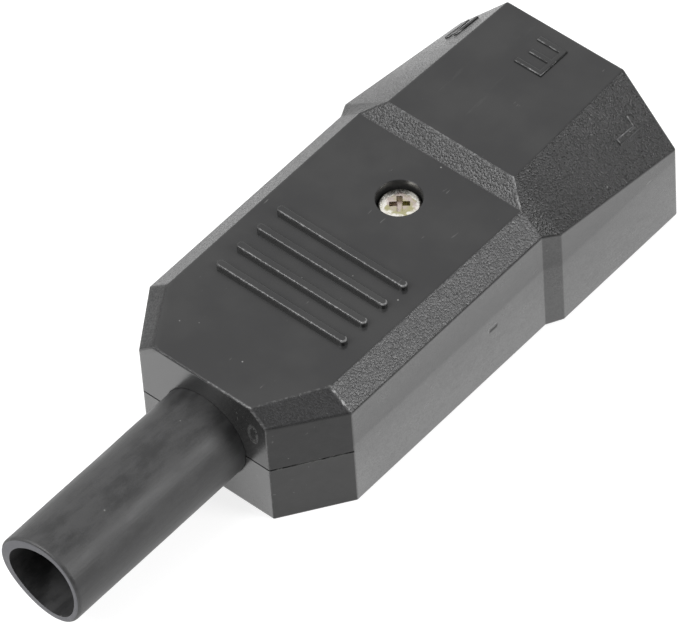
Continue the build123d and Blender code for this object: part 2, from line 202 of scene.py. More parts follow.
# Moulded casing: smooth top and sides, with a fine spark-eroded grain on every tilted face
casingLook = {
    "black": (0.022, 0.022, 0.0225),
    "worn": (0.029, 0.029, 0.029),
    "grainDark": (0.010, 0.010, 0.010),
    "grainPale": (0.042, 0.042, 0.043),
    # painted light and painted shade for faces whose tone depends on how they catch the light
    "faceLight": (0.060, 0.060, 0.061),
    "faceShade": (0.006, 0.006, 0.006),
    # the dust colour also serves as painted light on the lower corner facets and in the seam's groove
    "dust": (0.35, 0.35, 0.34),
    # pale colour of rub wear and of the painted highlights on edges, ribs, letters and the screw head
    "wearAndHighlight": (0.9, 0.9, 0.9),
    "paintedShade": (0.002, 0.002, 0.002),
    "wellShade": (0.018, 0.018, 0.018),
    "nickDark": (0.004, 0.004, 0.004),
    "ior": 1.5,
    "specular": 0.36,
    "coatRough": 0.24,
    "polishSides": 0.78,
    "polishRear": 0.56,
    "seam": 8.5 * mm,
    "sharpSeam": (0.3 * mm, 0.5 * mm),
    "flash": (0.1 * mm, 0.3 * mm),
    "groove": {"gap": (0.112 * mm, 0.125 * mm), "from": -17.4 * mm, "to": -10.5 * mm, "soft": 0.4 * mm},
    "grainFoot": (9.0 * mm, 9.4 * mm),
    "ribTop": (17.54 * mm, 17.6 * mm),
    "ribFront": (21.0 * mm, 21.5 * mm),
    "shroudFoot": (22.35 * mm, 22.55 * mm),
    "shroudTop": (24.2 * mm, 24.6 * mm),
    "sleeveSide": (2.0 * mm, 6.0 * mm),
    "sideShade": {
        "line": 9.4 * mm, "below": 0.3 * mm, "above": 0.5 * mm, "foot": 1.36, "fall": 0.064 / mm,
        "upper": 0.44, "rise": 0.02 / mm, "even": 0.25, "patchy": 0.75,
        "shroud": (24.2 * mm, 24.5 * mm), "shroudDim": 0.16,
    },
    "edgeRadius": 0.3 * mm,
    "softCorner": {"x": -6.7 * mm, "y": -9.7 * mm, "z": 15.4 * mm, "blend": 0.5 * mm, "more": 1.1 * mm},
    "ribs": {
        "first": -4.45 * mm, "last": 5.75 * mm, "pitch": 3.4 * mm, "half": 9.4 * mm, "reach": 1.2 * mm,
        "foot": (17.3 * mm, 17.4 * mm), "crest": (17.98 * mm, 18.12 * mm), "endRadius": 0.5 * mm,
        "line": (-0.5 * mm, -0.32 * mm), "lineShine": 0.10, "hook": (0.33 * mm, 0.5 * mm), "endShine": 0.14,
        "paintedShade": (-0.72 * mm, -0.44 * mm), "paintedShadeTop": (17.95 * mm, 18.1 * mm),
    },
    "screwHole": {"y": 15.5 * mm, "radius": 2.8 * mm},
    "grainDepth": 0.068 * mm,
    "skinDepth": 0.004 * mm,
    "sinkDepth": 0.012 * mm,
    "nick": {
        "y": 13.6 * mm, "z": 7.7 * mm, "long": 0.9 * mm, "wide": 0.5 * mm, "slant": -2.0, "depth": 0.16 * mm,
        "side": (14.0 * mm, 14.2 * mm),
    },
    "gateMark": {
        "x": 7.2 * mm, "z": 13.3 * mm, "wide": 0.75 * mm, "tall": 1.5 * mm, "depth": 0.12 * mm,
        "rear": (-17.8 * mm, -17.6 * mm), "ragged": {"size": 0.5 * mm, "detail": 3.0, "roughness": 0.7},
    },
    "textures": {
        "mottle": {"size": 7.0 * mm, "detail": 3.0},
        "pits": {"size": 0.25 * mm, "detail": 1.0, "roughness": 0.6},
        "finePits": {"size": 0.21 * mm, "detail": 1.0, "roughness": 0.6},
        "handling": {"size": 0.9 * mm, "detail": 4.0, "roughness": 0.7, "stretch": (1.0, 0.5, 1.0)},
        "scuffs": {"size": 1.6 * mm, "detail": 4.0, "roughness": 0.7, "stretch": (1.0, 0.12, 1.0)},
        "scratches": {"size": 0.5 * mm, "detail": 2.0, "roughness": 0.6, "stretch": (1.0, 0.07, 0.5)},
        "rubs": {"size": 0.42 * mm, "detail": 2.0, "roughness": 0.6, "stretch": (1.0, 0.16, 1.0)},
        "rubPatches": {"size": 3.2 * mm, "detail": 1.0},
        "sink": {"size": 9.0 * mm, "detail": 1.0},
        "skin": {"size": 0.12 * mm, "detail": 2.0},
    },
    "edgePatches": {"size": 0.45 * mm, "detail": 3.0, "roughness": 0.7},
    "ribSparks": {"size": 0.34 * mm, "detail": 2.0, "roughness": 0.7},
    "specks": {"spacing": 2.4 * mm, "dot": (0.03, 0.055), "clusterSize": 5.0 * mm, "cluster": (0.52, 0.6)},
    "facings": {  # which way each kind of face points, as a step or band of one part of its normal
        "grain": (0.58, 0.86, 0.03), "upright": (0.1, 0.3), "top": (0.95, 0.98), "slanted": (0.4, 0.5),
        "notRear": (-0.3, -0.2), "side": (0.84, 0.87), "right": (-0.1, 0.1), "facet": (-0.9, -0.3, 0.05),
        "rear": (-0.97, -0.94), "letterRear": (-0.85, -0.35, 0.1), "letterTop": (0.3, 0.5),
    },
    "cuts": {  # where each noise begins and ends to show
        "worn": (0.35, 0.7), "grain": (0.35, 0.65), "film": (0.3, 0.7), "scuffs": (0.66, 0.74),
        "scratches": (0.68, 0.73), "scratched": (0.5, 0.6), "rubs": (0.70, 0.76), "rubPatches": (0.55, 0.62),
        "flash": (0.52, 0.6), "groove": (0.4, 0.6), "edges": (0.46, 0.64), "sparks": (0.48, 0.66),
        "letters": (0.45, 0.6),
    },
    "shares": {  # how strongly each mark colours the plastic
        "bodyBevel": 0.36, "rightCorner": 0.2, "leftCorner": 0.75, "shroudBevel": 0.72, "shroudPits": 1.6,
        "sideDust": 0.04, "facetShade": 0.6, "facetLight": 0.048, "besideSleeve": 0.4, "flash": 0.1,
        "groove": 0.3, "scuffs": 0.02, "scratches": 0.22, "rubs": 0.16, "specks": 0.5, "ring": 0.12,
        "ribShade": 0.85, "edgeShade": 0.6, "letterHighlight": 0.15,
    },
    "rough": {  # of the smooth faces, and how much each mark adds
        "smooth": 0.23, "grain": 0.33, "facet": 0.5, "mottle": 0.10, "handling": 0.25, "pits": 0.5,
        "ring": 0.15, "well": 0.2, "leftCorner": 0.16,
    },
    "pitting": {"leftCorner": -0.85, "rightCorner": -0.15, "shroud": 0.35},  # added to the depth of the grain
    "wornAndLitEdges": {  # in mm, with how bright each is
        "slopeEnd": {"from": (11.85, 22.45, 17.5), "to": (9.2, 24.45, 19.5), "wide": 0.16, "shine": 0.30},
        "slopeTop": {"from": (-9.2, 24.45, 19.5), "to": (9.2, 24.45, 19.5), "wide": 0.12, "shine": 0.14},
        "corner": {"from": (11.85, -10.05, 17.5), "to": (14.8, -10.05, 15.0), "wide": 0.22, "shine": 0.28},
        "cornerTop": {"from": (7.0, -17.95, 17.5), "to": (11.85, -10.05, 17.5), "wide": 0.18, "shine": 0.05},
        "rearTop": {"from": (1.0, -17.95, 17.5), "to": (7.0, -17.95, 17.5), "wide": 0.28, "shine": 0.16},
        "rearSlant": {"from": (7.0, -17.95, 17.5), "to": (9.2, -17.95, 15.4), "wide": 0.34, "shine": 0.10},
        "rearCorner": {"from": (9.25, -17.93, 1.0), "to": (9.25, -17.93, 15.0), "wide": 0.2, "shine": 0.05},
    },
    "shadedEdges": {  # in mm
        "corner": {"from": (9.25, -17.93, 15.35), "to": (14.8, -10.05, 15.0), "wide": 0.32},
        "body": {"from": (14.8, -10.05, 15.0), "to": (14.8, 22.45, 15.0), "wide": 0.3},
        "step": {"from": (14.8, 22.45, 15.0), "to": (15.9, 24.45, 14.55), "wide": 0.3},
        "shroud": {"from": (15.9, 24.45, 14.55), "to": (15.9, 44.75, 11.1), "wide": 0.3},
    },
}


# small nick in the right side, as a height and a mask in one
def sideNick(place):
    nick = casingLook["nick"]
    slant = math.radians(nick["slant"])
    y, z = place.part(1) - nick["y"], place.part(2) - nick["z"]
    lengthwise = abs(y * math.cos(slant) + z * math.sin(slant))
    across = abs(z * math.cos(slant) - y * math.sin(slant))
    inside = (1 - lengthwise.step(0.5 * nick["long"], nick["long"])) * (1 - across.step(0.0, nick["wide"]))
    return inside * place.part(0).step(*nick["side"])


# oval ring that the mould leaves on the rear face
def gateRing(place):
    mark = casingLook["gateMark"]
    x, z = (place.part(0) - mark["x"]) / mark["wide"], (place.part(2) - mark["z"]) / mark["tall"]
    ragged = noise(place, **mark["ragged"])
    ring = (reach(x, z) + (ragged - 0.5) * 0.7).band(0.62, 0.98, 0.14) * ragged.step(0.36, 0.6)
    return ring * (1 - place.part(1).step(*mark["rear"]))


# wall of the well that the cover screw sits in, where painted shade darkens the plastic
def screwWell(place, upright):
    hole = casingLook["screwHole"]
    fromAxis = reach(place.part(0), place.part(1) - hole["y"])
    return (1 - fromAxis.step(hole["radius"], hole["radius"] + 0.1 * mm)) * upright


# soft line along one edge
def edgeLine(place, edge):
    start, way = Vector(edge["from"]) * mm, (Vector(edge["to"]) - Vector(edge["from"])) * mm
    offset = place.vectorMaths("SUBTRACT", {0: place, 1: start})
    along = place.vectorMaths("DOT_PRODUCT", {0: offset, 1: way}, 1)
    share = (along / way.length_squared).clamped()
    foot = place.vectorMaths("SCALE", {0: way, "Scale": share})
    gap = place.vectorMaths("DISTANCE", {0: offset, 1: foot}, 1)
    return 1 - gap.step(0.3 * edge["wide"] * mm, edge["wide"] * mm)


# pale marks along edges: partly rub wear and partly painted highlights where the edges catch the lamps
def edgeWearAndHighlight(place):
    patches = 0.2 + 0.8 * noise(place, **casingLook["edgePatches"]).step(*casingLook["cuts"]["edges"])
    total = 0.0
    for edge in casingLook["wornAndLitEdges"].values():
        total = total + edgeLine(place, edge) * patches * edge["shine"]
    return total.clamped()


# painted shade: dark lines along the lower edges of the bevels, the same on both sides
def edgeShade(place):
    folded = vector(abs(place.part(0)), place.part(1), place.part(2))
    total = 0.0
    for edge in casingLook["shadedEdges"].values():
        total = total + edgeLine(folded, edge)
    return total.clamped()


# distance across the nearest grip rib, below 0 on its rear half, and a mask of the place of the ribs
def ribPlace(place):
    ribs = casingLook["ribs"]
    turns = (place.part(1) - ribs["first"]) / ribs["pitch"] + 0.5
    across = (place.maths("FRACT", turns) - 0.5) * ribs["pitch"]
    inside = place.part(1).band(ribs["first"] - ribs["reach"], ribs["last"] + ribs["reach"], 0.1 * mm)
    inside = inside * (1 - abs(place.part(0)).step(ribs["half"] + 0.3 * mm, ribs["half"] + 0.5 * mm))
    return across, inside * place.part(2).step(*ribs["foot"])


# painted highlights: bright sparks along the rear top edge of each rib, and a hook of light at its right end
def ribShine(place):
    ribs = casingLook["ribs"]
    across, inside = ribPlace(place)
    sparks = noise(place, **casingLook["ribSparks"]).step(*casingLook["cuts"]["sparks"])
    line = across.band(*ribs["line"], 0.06 * mm) * (0.15 + sparks) * ribs["lineShine"]
    end = place.part(0) - (ribs["half"] - ribs["endRadius"])
    hook = reach(end, across).band(*ribs["hook"], 0.05 * mm) * end.step(0.0, 0.1 * mm) * ribs["endShine"]
    return (line + hook) * inside * place.part(2).step(*ribs["crest"])


# painted shade in the corner behind each rib
def ribShade(place):
    ribs = casingLook["ribs"]
    across, inside = ribPlace(place)
    low = 1 - place.part(2).step(*ribs["paintedShadeTop"])
    low = low * (1 - abs(place.part(0)).step(ribs["half"] - 0.7 * mm, ribs["half"] - 0.4 * mm))
    return across.band(*ribs["paintedShade"], 0.06 * mm) * inside * low


# softened edges, most at the left rear bevel. The seam and the feet of the ribs stay sharp
def roundedEdges(place):
    look = casingLook
    corner = look["softCorner"]
    blend = corner["blend"]
    soft = 1 - place.part(0).step(corner["x"] - blend, corner["x"] + blend)
    soft = soft * (1 - place.part(1).step(corner["y"] - blend, corner["y"] + blend))
    soft = soft * place.part(2).step(corner["z"] - blend, corner["z"] + blend)
    radius = look["edgeRadius"] + soft * corner["more"]
    rounded = place.node("ShaderNodeBevel", {"samples": 6}, {"Radius": radius})
    plain = place.node("ShaderNodeNewGeometry", output="Normal")
    onRibs = ribPlace(place)[1]
    share = abs(place.part(2) - look["seam"]).step(*look["sharpSeam"]) * (1 - onRibs)
    return place.node("ShaderNodeMix", {"data_type": "VECTOR"}, {0: share, 4: plain, 5: rounded}, 1)


# soft masks of the kinds of face, from where they lie and which way they point
def casingFaces(place, facing):
    look, facings = casingLook, casingLook["facings"]
    tilt = facing.part(2)
    onRibs = place.part(2).step(*look["ribTop"]) * (1 - place.part(1).step(*look["ribFront"]))
    grain = tilt.band(*facings["grain"]) * (1 - onRibs) * place.part(2).step(*look["grainFoot"])
    upright = 1 - abs(tilt).step(*facings["upright"])
    slanted = abs(facing.part(0)).step(*facings["slanted"])
    notRear = facing.part(1).step(*facings["notRear"])
    side = abs(facing.part(0)).step(*facings["side"])
    right = facing.part(0).step(*facings["right"])
    cornerBevel = slanted * (1 - notRear)
    rear = 1 - facing.part(1).step(*facings["rear"])
    return {
        "grain": grain,
        "upright": upright,
        "top": tilt.step(*facings["top"]),
        "side": side,
        "right": right,
        "sideBevel": slanted * notRear * grain,
        "cornerBevel": cornerBevel,
        "leftCorner": cornerBevel * grain * (1 - right),
        "rightCorner": cornerBevel * grain * right,
        "facet": upright * (1 - side) * facing.part(1).band(*facings["facet"]),
        "rear": rear,
        "besideSleeve": place.part(0).step(*look["sleeveSide"]) * rear,
        "aboveSeam": place.part(2).step(look["seam"] - 0.1 * mm, look["seam"] + 0.1 * mm),
        "shroud": place.part(1).step(*look["shroudFoot"]),
    }


# grain, wear, dust and moulding marks, and painted shade along the bevels' lower edges, each about 0 to 1
def casingMarks(place, faces):
    look, cuts = casingLook, casingLook["cuts"]
    marks = noises(place, look["textures"])
    shroudTop = place.part(1).step(*look["shroudTop"])
    marks["pits"] = marks["pits"] + (marks["finePits"] - marks["pits"]) * shroudTop
    marks["scuffs"] = marks["scuffs"].step(*cuts["scuffs"])
    scratched = marks["mottle"].step(*cuts["scratched"]) * faces["upright"]
    marks["scratches"] = marks["scratches"].step(*cuts["scratches"]) * scratched
    wearAndHighlight = faces["top"] * marks["rubPatches"].step(*cuts["rubPatches"])
    marks["rubs"] = marks["rubs"].step(*cuts["rubs"]) * wearAndHighlight
    marks["specks"] = dustSpecks(place, look["specks"])
    marks["nick"] = sideNick(place)
    marks["ring"] = gateRing(place)
    marks["well"] = screwWell(place, faces["upright"])
    marks["edgeShade"] = edgeShade(place) * look["shares"]["edgeShade"]
    return marks


def casingColour(place, faces, marks):
    look, shares, cuts = casingLook, casingLook["shares"], casingLook["cuts"]
    pits, handling, above = marks["pits"], marks["handling"], faces["aboveSeam"]
    colour = mixColours(marks["mottle"].step(*cuts["worn"]), look["black"], look["worn"])

    # low spots of the grain are pale, but dark on the side bevels
    paleGrain = 1 - pits.step(*cuts["grain"])
    lift = (1 - 2 * paleGrain) * faces["sideBevel"] + (0.8 - paleGrain) * faces["cornerBevel"] * 0.2
    grain = mixColours(paleGrain + lift, look["grainDark"], look["grainPale"])
    colour = mixColours(faces["grain"], colour, grain)
    # painted light on the body's side bevels and the right corner bevel, painted shade on the shroud's side
    # bevels and the left corner bevel
    pale = faces["sideBevel"] * (1 - faces["shroud"]) * shares["bodyBevel"]
    pale = pale + faces["rightCorner"] * shares["rightCorner"]
    shroudDark = shares["shroudBevel"] + (0.5 - pits) * shares["shroudPits"]
    dark = faces["sideBevel"] * faces["shroud"] * shroudDark + faces["leftCorner"] * shares["leftCorner"]
    colour = mixColours(pale, colour, look["faceLight"])
    colour = mixColours(dark, colour, look["faceShade"])

    # a film of dust on upright faces; painted shade on the corner facets above the seam and painted light on
    # them below it, and painted shade on the rear face beside the sleeve
    film = pits.step(*cuts["film"]) * faces["upright"] * (1 - faces["facet"]) * shares["sideDust"]
    colour = mixColours(film, colour, look["dust"])
    colour = mixColours(faces["facet"] * above * shares["facetShade"], colour, look["faceShade"])
    colour = mixColours(faces["facet"] * (1 - above) * shares["facetLight"], colour, look["dust"])
    colour = mixColours(faces["besideSleeve"] * above * shares["besideSleeve"], colour, look["faceShade"])

    # pale flash along the seam, and a pale fill in its groove that is partly dust and partly painted light
    # against the groove's shade
    seamGap, groove = abs(place.part(2) - look["seam"]), look["groove"]
    flash = (1 - seamGap.step(*look["flash"])) * handling.step(*cuts["flash"]) * faces["facet"]
    inGroove = place.part(1).band(groove["from"], groove["to"], groove["soft"])
    inGroove = (1 - seamGap.step(*groove["gap"])) * inGroove * handling.step(*cuts["groove"])
    colour = mixColours(flash * shares["flash"] + inGroove * shares["groove"], colour, look["dust"])

    wear = marks["scuffs"] * shares["scuffs"] + marks["scratches"] * shares["scratches"]
    colour = mixColours(wear + marks["rubs"] * shares["rubs"], colour, look["dust"])
    colour = mixColours(marks["specks"] * shares["specks"], colour, look["dust"])
    colour = mixColours(marks["ring"] * shares["ring"], colour, look["dust"])
    # painted highlights along edges, rib crests and rib ends; on the edges they are partly rub wear
    colour = mixColours((edgeWearAndHighlight(place) + ribShine(place)).clamped(), colour, look["wearAndHighlight"])
    # painted shade behind the ribs and along the bevels' lower edges
    paintedShade = ribShade(place) * shares["ribShade"] + marks["edgeShade"]
    colour = mixColours(paintedShade.clamped(), colour, look["paintedShade"])
    # painted shade on the wall of the screw's well
    colour = mixColours(marks["well"], colour, look["wellShade"])
    return mixColours(marks["nick"], colour, look["nickDark"])


def casingRoughness(faces, marks):
    look = casingLook["rough"]
    rough = look["smooth"] + (look["grain"] - look["smooth"]) * faces["grain"]
    rough = rough + (marks["mottle"] - 0.5) * look["mottle"]
    rough = rough + (marks["handling"] - 0.5) * faces["upright"] * look["handling"]
    rough = rough + (marks["pits"] - 0.5) * faces["grain"] * look["pits"] + marks["ring"] * look["ring"]
    rough = rough + (look["facet"] - look["smooth"]) * faces["facet"] + marks["well"] * look["well"]
    return (rough + faces["leftCorner"] * look["leftCorner"]).clamped()


def casingBumps(faces, marks):
    look, pitting = casingLook, casingLook["pitting"]
    corner = pitting["leftCorner"] + (pitting["rightCorner"] - pitting["leftCorner"]) * faces["right"]
    deeper = corner * faces["cornerBevel"] + pitting["shroud"] * faces["sideBevel"] * faces["shroud"]
    return [
        (marks["sink"], look["sinkDepth"]),
        (marks["ring"], look["gateMark"]["depth"]),
        (1 - marks["nick"], look["nick"]["depth"]),
        (marks["pits"] * faces["grain"] * (1 + deeper), look["grainDepth"]),
        (marks["skin"] * (1 - faces["grain"]), look["skinDepth"]),
    ]


# sheen of the sides, which falls from the foot to a line above the seam, and of the rear face
def casingPolish(place, faces, marks):
    look, shade, height = casingLook, casingLook["sideShade"], place.part(2)
    lower = shade["foot"] - height * shade["fall"]
    upper = shade["upper"] + (height - shade["line"]) * shade["rise"]
    overLine = height.step(shade["line"] - shade["below"], shade["line"] + shade["above"])
    sheen = lower + (upper - lower) * overLine
    sheen = sheen * (shade["even"] + (marks["handling"] + marks["pits"]) * shade["patchy"])
    sheen = sheen * (1 - shade["shroudDim"] * place.part(1).step(*shade["shroud"]))
    above = faces["aboveSeam"]
    rearShine = look["polishRear"] * (1.2 - 0.2 * above + 0.6 * faces["besideSleeve"] * (1 - above))
    polished = faces["side"] * look["polishSides"] * sheen + faces["rear"] * rearShine
    return (polished * (1 - marks["nick"]) * (1 - marks["edgeShade"])).clamped()


# the letters are the same plastic with sharper corners, and a painted highlight on their edges that face the
# rear
def casingPlastic(name, forLetters=False):
    look = casingLook
    material, start = startMaterial(name)
    place, facing = objectPlace(start), objectFacing(start)
    faces = casingFaces(place, facing)
    marks = casingMarks(place, faces)
    colour = casingColour(place, faces, marks)
    if forLetters:
        facings, patches = look["facings"], marks["handling"].step(*look["cuts"]["letters"])
        wearAndHighlight = facing.part(1).band(*facings["letterRear"]) * facing.part(2).step(*facings["letterTop"])
        wearAndHighlight = wearAndHighlight * (0.3 + patches) * look["shares"]["letterHighlight"]
        colour = mixColours(wearAndHighlight, colour, look["wearAndHighlight"])
    sockets = {
        "Base Color": colour,
        "Roughness": casingRoughness(faces, marks),
        "IOR": look["ior"],
        "Specular IOR Level": look["specular"],
        "Coat Weight": casingPolish(place, faces, marks),
        "Coat Roughness": look["coatRough"],
    }
    normal = None if forLetters else roundedEdges(place)
    finishMaterial(name, start, casingBumps(faces, marks), sockets, normal)
    return material


# Soft sleeve: matt rubber with a paler cut rim
sleeveLook = {
    "black": (0.007, 0.007, 0.0075),
    "worn": (0.029, 0.029, 0.0295),
    "rim": (0.076, 0.076, 0.085),
    "dust": (0.3, 0.3, 0.29),
    "dustShare": 0.35,
    "rough": 0.52,
    "ior": 1.5,
    "specular": 0.62,
    "rimFacing": (-0.97, -0.85),
    "rimPlace": (-40.0 * mm, -38.0 * mm),
    "specks": {"spacing": 2.0 * mm, "dot": (0.03, 0.07), "clusterSize": 4.0 * mm, "cluster": (0.5, 0.58)},
    "textures": {
        "swell": {"size": 5.0 * mm, "detail": 1.0},
        "mottle": {"size": 4.0 * mm, "detail": 3.0},
        "smear": {"size": 1.1 * mm, "detail": 3.0, "roughness": 0.6, "stretch": (1.0, 0.3, 1.0)},
        "lines": {"size": 0.5 * mm, "detail": 2.0, "stretch": (1.0, 0.06, 1.0)},
        "pores": {"size": 0.16 * mm, "detail": 2.0},
    },
    "cloud": {"mottle": 0.45, "smear": 0.4, "pores": 0.15},
    "cloudCut": (0.40, 0.61),
    "rimPatches": (0.65, 0.7),
    "uneven": {"mottle": 0.25, "smear": 0.2, "lines": 0.1},
    "bumps": {"swell": 0.03 * mm, "lines": 0.010 * mm, "pores": 0.008 * mm},
}


def sleeveRubber():
    look = sleeveLook
    material, start = startMaterial("sleeveRubber")
    place, facing = objectPlace(start), objectFacing(start)
    marks = noises(place, look["textures"])
    rim = (1 - facing.part(1).step(*look["rimFacing"])) * (1 - place.part(1).step(*look["rimPlace"]))
    rim = rim * (look["rimPatches"][0] + marks["smear"] * look["rimPatches"][1])
    cloud = 0.0
    for key, share in look["cloud"].items():
        cloud = cloud + marks[key] * share
    colour = mixColours(cloud.step(*look["cloudCut"]), look["black"], look["worn"])
    colour = mixColours(rim, colour, look["rim"])
    colour = mixColours(dustSpecks(place, look["specks"]) * look["dustShare"], colour, look["dust"])
    rough = look["rough"]
    for key, share in look["uneven"].items():
        rough = rough + (marks[key] - 0.5) * share
    sockets = {
        "Base Color": colour,
        "Roughness": rough.clamped(),
        "IOR": look["ior"],
        "Specular IOR Level": look["specular"],
    }
    bumps = [(marks[key], depth) for key, depth in look["bumps"].items()]
    finishMaterial(material.name, start, bumps, sockets)
    return material


# Plated metals: colour drifts between two tints, with fine lines along one axis
metalLooks = {
    "zincPlate": {
        "tint": (0.50, 0.43, 0.40), "second": (0.40, 0.38, 0.22), "rough": 0.26, "lines": (1, 1, 0.1),
        "markDepth": 0.03 * mm,
        "paintedHighlightRing": {
            "axis": (0.0, 15.5 * mm), "inner": 1.5 * mm, "outer": 1.8 * mm, "ragged": 1.6 * mm,
            "tint": (0.80, 0.78, 0.73),
        },
    },
    "nickelPlate": {
        "tint": (0.74, 0.72, 0.68), "second": (0.64, 0.61, 0.55), "rough": 0.36, "lines": (1, 0.05, 1),
        "markDepth": 0.012 * mm,
    },
    "steelPlate": {
        "tint": (0.70, 0.69, 0.66), "second": (0.58, 0.58, 0.57), "rough": 0.34, "lines": (1, 1, 0.1),
        "markDepth": 0.012 * mm,
    },
}
plateMarks = {
    "drift": {"size": 1.3 * mm, "detail": 2.0},
    "marks": {"size": 0.35 * mm, "detail": 3.0, "roughness": 0.7},
    "lineSize": 0.10 * mm,
    "lineDepth": 0.004 * mm,
    "rubSize": 0.9 * mm,
    "tarnish": (0.30, 0.28, 0.24),
    "tarnishShare": 0.5,
}


def platedMetal(name):
    look = metalLooks[name]
    material, start = startMaterial(name)
    place = objectPlace(start)
    drift, marks = noise(place, **plateMarks["drift"]), noise(place, **plateMarks["marks"])
    lines = noise(place, plateMarks["lineSize"], 2.0, 0.6, look["lines"])
    colour = mixColours(drift.step(0.4, 0.62), look["tint"], look["second"])
    tarnished = marks.step(0.62, 0.75) * plateMarks["tarnishShare"]
    colour = mixColours(tarnished, colour, plateMarks["tarnish"])
    if "paintedHighlightRing" in look:  # a painted highlight: a bright ring round the head
        ring = look["paintedHighlightRing"]
        fromAxis = reach(place.part(0) - ring["axis"][0], place.part(1) - ring["axis"][1])
        ragged = fromAxis + (noise(place, plateMarks["rubSize"], 2.0) - 0.5) * ring["ragged"]
        wearAndHighlight = ragged.step(ring["inner"], ring["outer"]) * (0.3 + 0.7 * marks.step(0.34, 0.52))
        colour = mixColours(wearAndHighlight, colour, ring["tint"])
    rough = look["rough"] + (marks - 0.5) * 0.3 + (lines - 0.5) * 0.15
    bumps = [(marks, look["markDepth"]), (lines, plateMarks["lineDepth"])]
    sockets = {"Base Color": colour, "Roughness": rough.clamped(), "Metallic": 1.0}
    finishMaterial(name, start, bumps, sockets)
    return material


# Clamp bridge: matt black nylon
nylonLook = {
    "black": (0.040, 0.040, 0.041),
    "worn": (0.066, 0.066, 0.066),
    "rough": 0.5,
    "mottle": {"size": 2.5 * mm, "detail": 3.0},
    "pores": {"size": 0.2 * mm, "detail": 2.0},
    "poreDepth": 0.012 * mm,
}


def clampNylon():
    look = nylonLook
    material, start = startMaterial("clampNylon")
    place = objectPlace(start)
    mottle = noise(place, **look["mottle"])
    colour = mixColours(mottle.step(0.3, 0.7), look["black"], look["worn"])
    rough = look["rough"] + (mottle - 0.5) * 0.2
    bumps = [(noise(place, **look["pores"]), look["poreDepth"])]
    finishMaterial(material.name, start, bumps, {"Base Color": colour, "Roughness": rough.clamped()})
    return material


casing = casingPlastic("casingPlastic")
lettering = casingPlastic("letterPlastic", forLetters=True)
zinc = platedMetal("zincPlate")
nickel = platedMetal("nickelPlate")
steel = platedMetal("steelPlate")
rubber = sleeveRubber()
for name, material in {
    "upper_shell": casing,
    "lower_shell": casing,
    "cable_sleeve": rubber,
    "cord_clamp": clampNylon(),
    "live_pin": nickel,
    "neutral_pin": nickel,
    "earth_pin": nickel,
    "cover_nut": steel,
}.items():
    dress(nodes[name], material)
print("solids dressed")


# a new tree with its named inputs, and a wire for each of them
def startTree(name, inputs):
    tree = bpy.data.node_groups.new(name, "GeometryNodeTree")
    for key, kind in inputs.items():
        tree.interface.new_socket(key, in_out="INPUT", socket_type="NodeSocket" + kind)
    tree.interface.new_socket("Mesh", in_out="OUTPUT", socket_type="NodeSocketGeometry")
    entry = tree.nodes.new("NodeGroupInput")
    return Wire(tree), {socket.name: Wire(tree, socket) for socket in entry.outputs if socket.name}


# share of one leg of a run, 0 before it and 1 after it
def legShare(run, leg):
    return ((run - leg[0]) / (leg[1] - leg[0])).clamped()


# a flat sheet put in its shape, with its seam and poles closed
def shapeSheet(start, sheet, shape):
    turned = start.node("GeometryNodeSetPosition", None, {"Geometry": sheet, "Position": shape})
    return start.node("GeometryNodeMergeByDistance", None, {"Geometry": turned, "Distance": 1e-6})


# smooth up to a bend of about 34 degrees
def finishTree(start, mesh, finish):
    bend = start.node("GeometryNodeInputMeshEdgeAngle")
    even = bend.maths("LESS_THAN", bend, 0.6)
    smooth = start.node("GeometryNodeSetShadeSmooth", {"domain": "EDGE"}, {0: mesh, 1: even})
    whole = start.node("GeometryNodeRealizeInstances", None, {0: smooth})
    whole = start.node("GeometryNodeSetMaterial", None, {"Geometry": whole, "Material": finish})
    start.node("NodeGroupOutput", None, {0: whole})


# a piece with the plain mesh that a tree gives for these values
def treePiece(name, tree, values):
    piece = bpy.data.objects.new(name, bpy.data.meshes.new(name))
    scene.collection.objects.link(piece)
    modifier = piece.modifiers.new(tree.name, "NODES")
    modifier.node_group = tree
    for socket in tree.interface.items_tree:
        if socket.in_out == "INPUT":
            modifier[socket.identifier] = values[socket.name]
    made = bpy.data.meshes.new_from_object(piece.evaluated_get(bpy.context.evaluated_depsgraph_get()))
    piece.modifiers.remove(modifier)
    piece.data = made
    return piece


# Screws: one tree turns a head and a threaded shank round z and cuts the cross. The head's seat is at z 0
screwShape = {
    "around": 41,
    "crown": (0.0, 0.1), "edge": (0.1, 0.13), "side": (0.13, 0.16),
    "under": (0.16, 0.2), "shank": (0.2, 0.96), "tip": (0.96, 1.0),
    "edgeShare": 0.18, "domeShare": 0.09,  # of the head's height
    "crossDepth": 0.43, "crossLong": 0.62, "crossWide": 0.18, "crossTaper": 0.42,
}
screwKinds = {  # in mm, with the turn of the cross in degrees
    "cover": {"headHeight": 1.6, "shank": 2.5, "pitch": 0.45, "thread": 0.26, "rows": 260, "turn": 41.0},
    "terminal": {"headHeight": 1.5, "shank": 2.5, "pitch": 0.45, "thread": 0.26, "rows": 130, "turn": 12.0},
    "clamp": {"headHeight": 1.7, "shank": 2.6, "pitch": 0.9, "thread": 0.38, "rows": 110, "turn": 63.0},
}
screwNodes = {
    "cover_screw": ("cover", zinc, "cover_screw"),
    "live_terminal_screw": ("terminal", steel, "steel"),
    "neutral_terminal_screw": ("terminal", steel, "steel"),
    "earth_terminal_screw": ("terminal", steel, "steel"),
    "clamp_screw_left": ("clamp", steel, "steel"),
    "clamp_screw_right": ("clamp", steel, "steel"),
}


